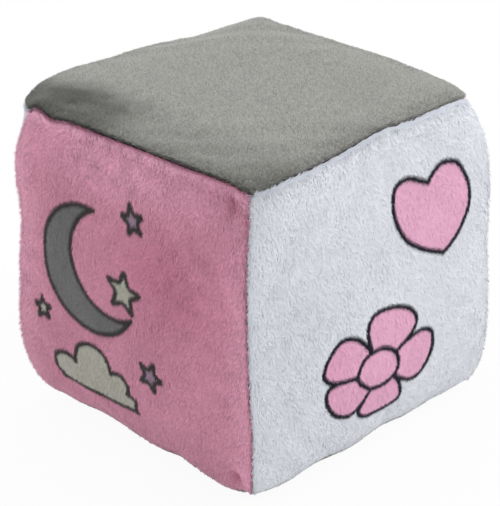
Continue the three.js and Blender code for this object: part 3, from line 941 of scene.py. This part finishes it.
def planted(tree, points, piece, rotation, size, material):
    """Ends a tree: a copy of the piece on every point, as one mesh of that material."""
    copies = add(tree, "GeometryNodeInstanceOnPoints", {
        "Points": points, "Instance": piece, "Rotation": rotation, "Scale": size})
    real = add(tree, "GeometryNodeRealizeInstances", {"Geometry": copies})
    add(tree, "NodeGroupOutput", {"Geometry": add(tree, "GeometryNodeSetMaterial", {
        "Geometry": real, "Material": material})})


def pile_tree():
    """A tree that stands ribbons on a skin, leaning along its nap attribute."""
    tree, given = geometry_tree("pile", {
        "Strands per square metre": "Float", "Strand length": "Float", "Strand width": "Float",
        "Lean": "Float", "Disorder": "Float", "Seed": "Int", "Material": "Material"})
    seed = given["Seed"]
    sown = add(tree, "GeometryNodeDistributePointsOnFaces", {
        "Mesh": given["Geometry"], "Seed": seed,
        "Density": maths(tree, "MULTIPLY", given["Strands per square metre"], named(tree, "thick"))})
    shaded = stored(tree, sown, "shade", random_number(tree, 0.0, 1.0, seed))

    flat = add(tree, "GeometryNodeMeshGrid", {"Size X": 1.0, "Size Y": 1.0, "Vertices X": 2,
                                              "Vertices Y": 2})
    spot = add(tree, "ShaderNodeSeparateXYZ", {0: add(tree, "GeometryNodeInputPosition")}).outputs
    marked = stored(tree, flat, "along", maths(tree, "ADD", spot["Y"], 0.5))
    marked = stored(tree, marked, "side", spot["X"])
    share = named(tree, "along")
    reach = maths(tree, "MULTIPLY", share, given["Strand length"])
    forward, upward = (maths(tree, "MULTIPLY", maths(tree, part, given["Lean"]), reach)
                       for part in ("SINE", "COSINE"))
    width = maths(tree, "MULTIPLY", maths(tree, "MULTIPLY_ADD", share, -TAPER, 1.0),
                  given["Strand width"])
    slanted = add(tree, "ShaderNodeCombineXYZ", {
        "X": maths(tree, "MULTIPLY", named(tree, "side"), width), "Y": forward, "Z": upward})
    ribbon = add(tree, "GeometryNodeSetPosition", {"Geometry": marked, "Position": slanted})

    combed = add(tree, "FunctionNodeAlignRotationToVector", {
        "Rotation": sown.outputs["Rotation"], "Vector": named(tree, "nap", "FLOAT_VECTOR")},
        axis="Y", pivot_axis="Z")
    wobble = add(tree, "FunctionNodeRandomValue", {
        "Min": tuple(-angle for angle in WOBBLE), "Max": WOBBLE, "Seed": seed},
        data_type="FLOAT_VECTOR")
    lifted = add(tree, "ShaderNodeCombineXYZ", {"X": named(tree, "upright")})
    posture = add(tree, "ShaderNodeVectorMath", {0: scaled(tree, wobble, given["Disorder"]),
                                                 1: lifted}, operation="ADD")
    turned = add(tree, "FunctionNodeRotateRotation", {"Rotation": combed, "Rotate By": posture},
                 rotation_space="LOCAL")
    size = maths(tree, "MULTIPLY", random_number(tree, SHORT_STRAND, TALL_STRAND, seed),
                 named(tree, "tall"))
    planted(tree, shaded, ribbon, turned, size, given["Material"])
    return tree


PILE_TREE = pile_tree()
print("nodes in the pile tree:", len(PILE_TREE.nodes))

# %% [markdown]
# A tree works on an object as a modifier. What it grows is then taken over as a plain mesh, so the
# strands can be printed and lit one by one, and the piece can leave Blender as it is.

# %% Set a tree's named inputs and turn its result into a plain mesh
def outcome(item):
    """What an object's modifiers make of it, as a mesh of its own. The modifiers are taken off."""
    evaluated = item.evaluated_get(bpy.context.evaluated_depsgraph_get())
    mesh = bpy.data.meshes.new_from_object(evaluated)
    item.modifiers.clear()
    return mesh


def grown(item, tree, values, name):
    """A new object with what the tree makes of the item, and the item itself taken away."""
    modifier = item.modifiers.new("grow", "NODES")
    modifier.node_group = tree
    for socket in tree.interface.items_tree:
        if socket.in_out == "INPUT" and socket.name in values:
            modifier[socket.identifier] = values[socket.name]
    mesh = outcome(item)
    mesh.name = name
    discard(item)
    return placed(name, mesh)

# %% [markdown]
# The skin that the pile is sown on carries what differs from place to place: which way the nap lies,
# how tall the strands stand and how thickly. The top is brushed away from the viewer and the upright
# panels downwards. Where the fabric turns into a seam, the strands lie along the groove and lean into
# it from both sides, so they close it like thatch. Each stitch pulls them in a little.

# %% Comb the nap
NAP = {"top": (-0.7, 0.7), "bottom": (0.0, -1.0), "front": (0.0, -1.0), "back": (0.0, -1.0),
       "right": (0.0, -1.0), "left": (0.0, -1.0)}
# How far the nap wanders from that direction, in radians.
NAP_WANDER = {"grey_plush": 0.12, "pink_plush": 0.12, "white_plush": 0.05}
WANDER_WHERE_PAINTED = 1.3
TALLER_IN_GROOVE, PULLED_IN = 0.3, 0.25
# How tall the pile is at the upright seams of a side panel, or at all seams of a level one.
SEAM_PILE = {"front": 1.25, "right": 1.25, "back": 0.5, "bottom": 0.4}


def nap_of(panel, places):
    """The way the nap lies at places of a panel, as (u, v)."""
    base = math.atan2(NAP[panel][1], NAP[panel][0])
    wander = NAP_WANDER[PANEL_SLOTS[panel]]
    angle = base + wander * (2 * waves(places, 38, 11 + len(panel)) + waves(places, 12, 5 + len(panel)))
    # The nap wanders more where shade or light is painted.
    angle += WANDER_WHERE_PAINTED * (1 - painted_light_level(panel, places)) * waves(places, 10, 70)
    return np.column_stack([np.cos(angle), np.sin(angle)])


def combed_at(panel, pattern, seam):
    """The way the strands lie, which in the groove is along the seam, as (u, v)."""
    sideways = np.abs(pattern[:, :1]) >= np.abs(pattern[:, 1:])
    along_seam = np.where(sideways, [[0.0, 1.0]], [[1.0, 0.0]])
    against = (np.array(NAP[panel]) * along_seam).sum(axis=1, keepdims=True) < -0.1
    along_seam = np.where(against, -along_seam, along_seam)
    under_top = (pattern[:, 1] > np.abs(pattern[:, 0])) & (axes(panel)[2][2] > 0)
    share = (seam * np.where(under_top, 0.5, 1.0))[:, None]
    return nap_of(panel, pattern) * (1 - share) + along_seam * share


def height_at(panel, pattern, turn, seam):
    """How tall the strands stand, as a share of their length."""
    stitches = 0.5 + 0.5 * np.cos(2 * math.pi * np.abs(pattern).min(axis=1) / STITCH)
    groove = 1 + TALLER_IN_GROOVE * smooth(turn, 0.9, 1.4) - PULLED_IN * seam * stitches
    nearest = np.abs(pattern[:, 0]) if axes(panel)[2][2] else np.abs(pattern).max(axis=1)
    at_seam = smooth(nearest, TURN_ACROSS - 2.0, TURN_ACROSS + 0.8)
    return (1 + 0.05 * waves(pattern, 9, 3)) * groove * (1 + (SEAM_PILE.get(panel, 1) - 1) * at_seam)


print("nap in the middle of the top:", nap_of("top", np.zeros((1, 2))).round(2).tolist())

# %% [markdown]
# A strand by itself would catch the light on its own flat side, and the panel would glitter. In a dense
# pile the strands hold each other, so what one sees is lit like the skin under them, with only a little
# of each strand's own side. At its rim the pile turns over softly, where the bare fabric has an edge,
# so the light turns with it.

# %% Light the pile like the skin under it
ROUNDED_UP, ROUNDED_SIDEWAYS = math.tan(math.radians(18)), math.tan(math.radians(7))
ROUNDED_WIDTH = 7.0
# How much of its light a strand takes from the skin.
SOFTNESS = {"grey_plush": 0.9, "pink_plush": 0.9, "white_plush": 0.96}


def rounded_light(panel, normals, sheet, ring, rings):
    """Normals that turn softly towards the seam, as a dense pile rounds off a sharp edge."""
    _, rightward, upward = axes(panel)
    inner = normals[:(CELLS + 1) ** 2].reshape(CELLS + 1, CELLS + 1, 3)
    inner[0], inner[-1] = inner[1], inner[-2]
    inner[:, 0], inner[:, -1] = inner[:, 1], inner[:, -2]
    inner = inner.reshape(-1, 3)
    rises = ROUNDED_UP if upward[2] else ROUNDED_SIDEWAYS
    tilts = []
    for side, way, tilt in ((sheet[:len(inner), 0], rightward, ROUNDED_SIDEWAYS),
                            (sheet[:len(inner), 1], upward, rises)):
        near = smooth(np.abs(side), TURN_ACROSS - ROUNDED_WIDTH, TURN_ACROSS)
        tilts.append(tilt * (np.sign(side) * near)[:, None] * way)
    inner = inner + sum(tilts)
    inner /= np.linalg.norm(inner, axis=1, keepdims=True)
    return np.concatenate([inner, np.tile(inner[ring], (rings, 1))])


def soften(item, skin_normal, softness):
    """Lights the strands mostly like the skin that they stand on."""
    mesh = item.data
    own = read(mesh.vertices, "normal")
    own = own * np.sign((own * skin_normal).sum(axis=1, keepdims=True) + 1e-6)
    mixed = skin_normal * softness + own * (1 - softness)
    mixed /= np.linalg.norm(mixed, axis=1, keepdims=True)
    mesh.shade_smooth()
    mesh.normals_split_custom_set_from_vertices(mixed)


print("share of the skin in a strand's light:", SOFTNESS)

# %% [markdown]
# Now each panel is sown. The grey strands lie almost flat, or seen from behind they would show nothing
# but their unlit undersides, and the others stand up more. Where a strand is printed depends on where
# it lies, so the ink is put on last. The same flat layout serves as the map for a baked texture.

# %% Sow the pile of every panel
STRANDS_PER_PANEL = 92_000
# Length and width of a strand in mm, how far it leans over in degrees, and its disorder.
PILES = {"grey_plush": (1.6, 0.40, 80, 0.8), "pink_plush": (1.25, 0.40, 58, 0.9),
         "white_plush": (1.1, 0.44, 63, 0.9)}
THICKER_IN_GROOVE = 0.8
GROOVE_LIFT = math.radians(14)
LOWEST_STRAND = 0.05
UNROLLED_HALF = 66.0


def pile(panel):
    """The pile of one panel, and for each point which way its skin faces."""
    depth = GROUND_DEPTH[PANEL_SLOTS[panel]]
    sheet, pattern, ring, rings = laid_out(depth, GROUND_PRESSED, rows=6, allowance=False)
    faces, _ = sheet_faces(ring, rings)
    skin = mesh_object("skin_" + panel, in_metres(shaped(panel, on_cube(panel, sheet)), LOWEST), faces)
    _, rightward, upward = axes(panel)
    turn = np.concatenate([np.zeros((CELLS + 1) ** 2), np.repeat(TURN_ANGLES[:rings], len(ring))])
    seam = smooth(turn, 0.3, 0.9)
    combed = combed_at(panel, pattern, seam)
    zero = np.zeros(len(pattern))
    for name, values in (
            ("nap", combed[:, :1] * rightward + combed[:, 1:] * upward),
            ("lit", rounded_light(panel, read(skin.data.vertices, "normal"), sheet, ring, rings)),
            ("tall", height_at(panel, pattern, turn, seam)),
            ("thick", 1 + THICKER_IN_GROOVE * seam), ("upright", GROOVE_LIFT * seam),
            ("pattern", np.column_stack([pattern, zero])),
            # The painted shade and light of each place, as on the ground.
            ("combed", np.column_stack([combed, zero])), ("painted_light_level", painted_light_level(panel, pattern))):
        point_values(skin.data, name, values)
    area = sum(face.area for face in skin.data.polygons)
    length, width, lean, disorder = PILES[PANEL_SLOTS[panel]]
    item = grown(skin, PILE_TREE, {
        "Strands per square metre": STRANDS_PER_PANEL / area, "Strand length": length * MM,
        "Strand width": width * MM, "Lean": math.radians(lean),
        "Disorder": disorder, "Seed": 7 + len(panel),
        "Material": PLUSH_MATERIALS[PANEL_SLOTS[panel]]}, "pile_" + panel)
    mesh = item.data
    points = read(mesh.vertices, "co")
    points[:, 2] = np.maximum(points[:, 2], LOWEST_STRAND * MM)
    mesh.vertices.foreach_set("co", points.ravel())
    print_and_unroll(panel, mesh)
    return item, read(mesh.attributes["lit"].data, "vector")


def print_and_unroll(panel, mesh):
    """Inks the strands where they lie, and lays them all out flat for a texture."""
    spot, combed = (read(mesh.attributes[name].data, "vector")[:, :2] for name in ("pattern", "combed"))
    along, side = (read(mesh.attributes[name].data, "value", 1) for name in ("along", "side"))
    combed = combed / np.maximum(np.linalg.norm(combed, axis=1, keepdims=True), 1e-6)
    length, width, lean, _ = PILES[PANEL_SLOTS[panel]]
    reach = length * math.sin(math.radians(lean))
    across = np.column_stack([combed[:, 1], -combed[:, 0]])
    flat = spot + combed * reach * along + across * side * width * (1 - TAPER * along)
    printed(mesh, inked(panel, flat))
    unrolled = mesh.uv_layers.new(name="OFBake")
    corners = read(mesh.loops, "vertex_index", 1, np.int32)[:, 0]
    unrolled.data.foreach_set("uv", (flat / UNROLLED_HALF / 2 + 0.5)[corners].astype(np.float32).ravel())


for panel in PANELS:
    item, skin_normal = pile(panel)
    soften(item, skin_normal, SOFTNESS[PANEL_SLOTS[panel]])
    for name in ("pattern", "combed", "side", "nap", "tall", "thick", "upright"):
        if name in item.data.attributes:
            item.data.attributes.remove(item.data.attributes[name])
    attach(item, "block")
    print(item.name, "has", len(item.data.polygons), "faces")

# %% [markdown]
# ## The thread in the seams
#
# The panels are sewn together with a lockstitch of 3 mm. From outside it is a row of short bars deep in
# each groove, each arched over the fabric and diving in at both ends. The opening that the block was
# stuffed through is at the bottom of the back. It was closed by hand, with ladder stitches that run
# across the groove. A tree of Geometry Nodes walks along each seam and sets a bar at every stitch.

# %% Spin the thread and build the tree that sews with it
def thread_material(name, colour):
    """Spun polyester thread: matt, twisted, with light and dark along the twist."""
    material, tree, place = material_tree(name)
    level = spread(tree, noise(tree, place, 3000.0, 1.0), 0.85, 1.1, *NOISE_RANGE)
    coated(tree, {"Base Color": scaled(tree, linear(colour)[:3], level), "Roughness": 0.7,
                  "Specular IOR Level": 0.3})
    return material


def thread_tree():
    """A tree that sets arched bars of thread along a line, with its outwards attribute as their top."""
    tree, given = geometry_tree("thread", {
        "Step": "Float", "Bar length": "Float", "Arch": "Float", "Thread radius": "Float",
        "Turn": "Float", "Material": "Material"})
    line = add(tree, "GeometryNodeMeshToCurve", {"Mesh": given["Geometry"]})
    stops = add(tree, "GeometryNodeCurveToPoints", {"Curve": line, "Length": given["Step"]},
                mode="LENGTH")
    along = add(tree, "FunctionNodeAlignRotationToVector", {"Vector": stops.outputs["Tangent"]}, axis="X")
    upright = add(tree, "FunctionNodeAlignRotationToVector", {
        "Rotation": along, "Vector": named(tree, "outwards", "FLOAT_VECTOR")}, axis="Z", pivot_axis="X")
    angle = add(tree, "ShaderNodeCombineXYZ", {"Z": given["Turn"]})
    turned = add(tree, "FunctionNodeRotateRotation", {"Rotation": upright, "Rotate By": angle},
                 rotation_space="LOCAL")

    dip = maths(tree, "MULTIPLY", given["Arch"], -1.0)
    start, end = (add(tree, "ShaderNodeCombineXYZ", {
        "X": maths(tree, "MULTIPLY", given["Bar length"], half), "Z": dip}) for half in (-0.5, 0.5))
    middle = add(tree, "ShaderNodeCombineXYZ", {"Z": given["Arch"]})
    arch = add(tree, "GeometryNodeCurveQuadraticBezier", {
        "Resolution": 4, "Start": start, "Middle": middle, "End": end})
    round_thread = add(tree, "GeometryNodeCurvePrimitiveCircle", {
        "Resolution": 6, "Radius": given["Thread radius"]})
    bar = add(tree, "GeometryNodeCurveToMesh", {
        "Curve": arch, "Profile Curve": round_thread, "Fill Caps": True})
    planted(tree, stops, bar, turned, (1.0, 1.0, 1.0), given["Material"])
    return tree


THREAD_TREE = thread_tree()
THREAD = thread_material("polyester thread, grey", "#8f8c8e")
print("nodes in the thread tree:", len(THREAD_TREE.nodes))

# %% [markdown]
# Each seam gets a line in its groove, 2 mm under the surface, which ends where the corners begin. The
# line follows every bend of the seam, because it is shaped by the same function as the panels.

# %% Sew the seams
THREAD_RADIUS = 0.14
STITCH_SHARE, STITCH_ARCH = 0.82, 0.25
LADDER_STEP, LADDER_WIDTH, LADDER_TURN = 4.0, 2.4, math.radians(78)
HAND_SEAM, HAND_CLOSED = (0, 1, -1), 28.0
SEAM_DEPTH, SEAM_END, SEAM_POINTS = 2.0, 56.0, 40


def seam_line(edge, start, end):
    """An open line along a seam of the block, in the groove, with its outward direction."""
    edge = np.array(edge, float)
    along = np.where(edge == 0, 1.0, 0.0)
    run = np.linspace(start, end, SEAM_POINTS)[:, None]
    panel = next(name for name in PANELS if (axes(name)[0] * edge).sum() > 0)
    points = in_metres(shaped(panel, edge * (OUTER_HALF - SEAM_DEPTH) + along * run))
    item = mesh_object("seam line", points, np.zeros((0, 4), int))
    item.data.edges.add(len(points) - 1)
    pairs = np.column_stack([np.arange(len(points) - 1), np.arange(1, len(points))])
    item.data.edges.foreach_set("vertices", pairs.astype(np.int32).ravel())
    item.data.update()
    point_values(item.data, "outwards", np.tile(edge / np.linalg.norm(edge), (len(points), 1)))
    return item


def sewn(name, edge, start, end, by_hand):
    """The stitches of one stretch of seam."""
    step, length, turn = ((LADDER_STEP, LADDER_WIDTH, LADDER_TURN) if by_hand
                          else (STITCH, STITCH * STITCH_SHARE, 0.0))
    item = grown(seam_line(edge, start, end), THREAD_TREE, {
        "Step": step * MM, "Bar length": length * MM, "Arch": STITCH_ARCH * MM,
        "Thread radius": THREAD_RADIUS * MM, "Turn": turn, "Material": THREAD}, name)
    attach(item, "block")
    return item


EDGES = [edge for edge in itertools.product((-1, 0, 1), repeat=3) if edge.count(0) == 1]
bars = 0
for number, edge in enumerate(EDGES, 1):
    stretches = [(-SEAM_END, SEAM_END, False)]
    if edge == HAND_SEAM:
        stretches = [(-SEAM_END, -HAND_CLOSED, False), (-HAND_CLOSED, HAND_CLOSED, True),
                     (HAND_CLOSED, SEAM_END, False)]
    for part, (start, end, by_hand) in enumerate(stretches, 1):
        item = sewn(f"thread_{number}_{part}", edge, start, end, by_hand)
        bars += len(item.data.polygons)
print("seams:", len(EDGES), "with", bars, "faces of thread")

# %% [markdown]
# ## The fibre filling
#
# Two wads of loose polyester fibre fill the cover, the upper one over the lower one, with the rattle
# capsule in a nest between them. They are hidden, but someone who opens the model finds fluff there
# and not a smooth solid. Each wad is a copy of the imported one, merged, divided twice and roughened
# inwards with soft noise.

# %% Fluff up the filling
FLUFF_DEPTH = 0.9
FLUFF_MIDDLE, FLUFF_RANGE = 0.5, (0.05, 1.2)
# The share, the length in mm and the seed of each of its two sizes of waves.
FLUFF_WAVES = ((0.35, 9, 21), (0.25, 3.5, 22))


def fibre_material():
    """Loose hollow polyester fibre: white and matt, with fine curls, and the tiny shadows between them
    painted into its colour.
    """
    material, tree, place = material_tree("polyester fibre filling")
    curls = noise(tree, place, 700.0, 4.0, Distortion=2.5)
    # Painted shadows between the curls: darker where the two noises are low.
    ramp = add(tree, "ShaderNodeValToRGB", {
        "Fac": maths(tree, "MULTIPLY", curls, noise(tree, place, 120.0, 3.0))})
    for stop, position, colour in zip(ramp.color_ramp.elements, (0.1, 0.35), ("#dcdad4", "#f8f7f4")):
        stop.position, stop.color = position, linear(colour)
    bump = add(tree, "ShaderNodeBump", {"Height": curls, "Strength": 0.6, "Distance": 0.0006})
    coated(tree, {"Base Color": ramp, "Normal": bump, "Roughness": 0.95, "Specular IOR Level": 0.2,
                  "Sheen Weight": 0.2})
    return material


FIBRE = fibre_material()


def wad(node):
    """A fluffier copy of one packed wad."""
    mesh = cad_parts[node].data.copy()
    mesh.name = "fluff_" + node
    item = placed(mesh.name, mesh)
    item.modifiers.new("weld", "WELD").merge_threshold = 0.02 * MM
    divide = item.modifiers.new("divide", "SUBSURF")
    divide.subdivision_type = "SIMPLE"
    divide.levels = divide.render_levels = 2
    fluffy = item.data = outcome(item)
    points = read(fluffy.vertices, "co")
    puff = sum((share * waves(points / MM, length, seed) for share, length, seed in FLUFF_WAVES),
               start=FLUFF_MIDDLE)
    puff = np.clip(puff, *FLUFF_RANGE) * FLUFF_DEPTH * MM
    points -= read(fluffy.vertices, "normal") * puff[:, None]
    fluffy.vertices.foreach_set("co", points.ravel())
    fluffy.materials.clear()
    fluffy.materials.append(FIBRE)
    fluffy.shade_smooth()
    fluffy.update()
    return item


for node in ("filling_lower", "filling_upper"):
    item = wad(node)
    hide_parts(node)
    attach(item, "block")
    print(item.name, "has", len(item.data.polygons), "faces")

# %% [markdown]
# ## The rattle
#
# The capsule is moulded polypropylene, milky and slightly glossy, and the pellets in it are the same
# plastic in cream. Moulded plastic is smooth, with a faint orange-peel texture from the tool. The
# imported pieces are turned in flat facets, so a small node tree joins and shades them as the round
# things that they are, and leaves only their rims sharp.

# %% Finish the capsule and its pellets
def moulded(name, colour, roughness):
    """Moulded polypropylene: milky, waxy and lightly textured by its mould."""
    material, tree, place = material_tree(name)
    cloudy = spread(tree, noise(tree, place, 160.0, 2.0), 0.93, 1.05)
    peel = noise(tree, place, 1400.0, 1.0)
    coated(tree, {
        "Base Color": scaled(tree, linear(colour)[:3], cloudy), "IOR": 1.49,
        "Roughness": spread(tree, peel, roughness - 0.06, roughness + 0.08),
        "Normal": add(tree, "ShaderNodeBump", {"Height": peel, "Strength": 0.15, "Distance": 0.0001})})
    return material


def round_tree():
    """A tree that shades a turned piece as a round one, with sharp rims."""
    tree, given = geometry_tree("round", {})
    bare = add(tree, "GeometryNodeRemoveAttribute", {"Geometry": given["Geometry"],
                                                     "Name": "custom_normal"})
    joined = add(tree, "GeometryNodeMergeByDistance", {"Geometry": bare, "Distance": 0.001 * MM})
    soft = add(tree, "GeometryNodeSetShadeSmooth", {"Geometry": joined, "Shade Smooth": True},
               domain="FACE")
    rim = add(tree, "FunctionNodeCompare", {"A": add(tree, "GeometryNodeInputMeshEdgeAngle"),
                                            "B": SHARP_RIM}, data_type="FLOAT", operation="GREATER_THAN")
    sharp = add(tree, "GeometryNodeSetShadeSmooth", {"Geometry": soft, "Selection": rim,
                                                     "Shade Smooth": False}, domain="EDGE")
    add(tree, "NodeGroupOutput", {"Geometry": sharp})
    return tree


SHARP_RIM = math.radians(40)
ROUND_TREE = round_tree()
CAPSULE = moulded("polypropylene, milky", "#e6e9ea", 0.3)
PELLET = moulded("polypropylene, cream", "#f2e6c9", 0.38)
for node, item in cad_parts.items():
    if node.startswith("rattle_"):
        item.data.materials.clear()
        item.data.materials.append(PELLET if "pellet" in node else CAPSULE)
        item.modifiers.new("round", "NODES").node_group = ROUND_TREE
print("rattle pieces finished")

# %% [markdown]
# ## Floor, light and background
#
# The photograph is a packshot on white. Soft lights stand behind on the right, on the left, in front on
# the left and above, in a pale surrounding, so the white panel is a little lighter towards the right.
# The lamps were set one by one until the levels on the panels agreed.
# The white background is only what the camera sees of the world and the floor.

# %% Set up the light
AMBIENT = 0.54
FLOOR_SIZE, FLOOR_WHITE = 4.0, 0.94


def white_for_camera(tree, shader, glow, share):
    """A shader, with a white glow over that share of what the camera, a mirror or glass sees of it."""
    ray = add(tree, "ShaderNodeLightPath").outputs
    seen = maths(tree, "MAXIMUM", ray["Is Camera Ray"], ray["Is Glossy Ray"])
    seen = maths(tree, "MAXIMUM", seen, ray["Is Transmission Ray"])
    plain = add(tree, glow, {"Color": linear("#ffffff"), "Strength": 1.0})
    return add(tree, "ShaderNodeMixShader", {0: maths(tree, "MULTIPLY", seen, share), 1: shader,
                                             2: plain})


world = bpy.data.worlds.new("studio")
bpy.context.scene.world = world
tree = emptied(world)
dim = add(tree, "ShaderNodeBackground", {"Color": linear("#ffffff"), "Strength": AMBIENT})
add(tree, "ShaderNodeOutputWorld", {
    "Surface": white_for_camera(tree, dim, "ShaderNodeBackground", 1.0)})

corners = np.array([[-1, -1, 0], [1, -1, 0], [1, 1, 0], [-1, 1, 0]]) * FLOOR_SIZE / 2
floor = mesh_object("floor", corners, np.array([[0, 1, 2, 3]]))
paper = bpy.data.materials.new("white paper sweep")
tree = emptied(paper)
sheet = add(tree, "ShaderNodeBsdfPrincipled", {"Base Color": linear("#f4f4f4"), "Roughness": 0.9,
                                               "Specular IOR Level": 0.1})
add(tree, "ShaderNodeOutputMaterial", {
    "Surface": white_for_camera(tree, sheet, "ShaderNodeEmission", FLOOR_WHITE)})
floor.data.materials.append(paper)


def lamp(name, place, size, watts):
    """A square soft light that looks at the block."""
    data = bpy.data.lights.new(name, "AREA")
    data.shape, data.size, data.energy = "SQUARE", size, watts
    item = placed(name, data)
    away = np.array(place) - np.array([0, 0, MIDDLE_HEIGHT])
    away = away / np.linalg.norm(away)
    side = np.cross([0, 0, 1], away)
    side = side / np.linalg.norm(side)
    aimed(item, side, np.cross(away, side), away, place)


lamp("overhead", (-0.1, 0.3, 1.3), 1.0, 4.1)
lamp("behind on the right", (0.9, 0.95, 0.55), 0.8, 12.0)
lamp("left", (-1.35, -0.4, 0.4), 0.8, 7.0)
lamp("front left", (-0.8, -1.1, 0.5), 0.8, 2.1)
bpy.context.scene.view_settings.view_transform = "Standard"
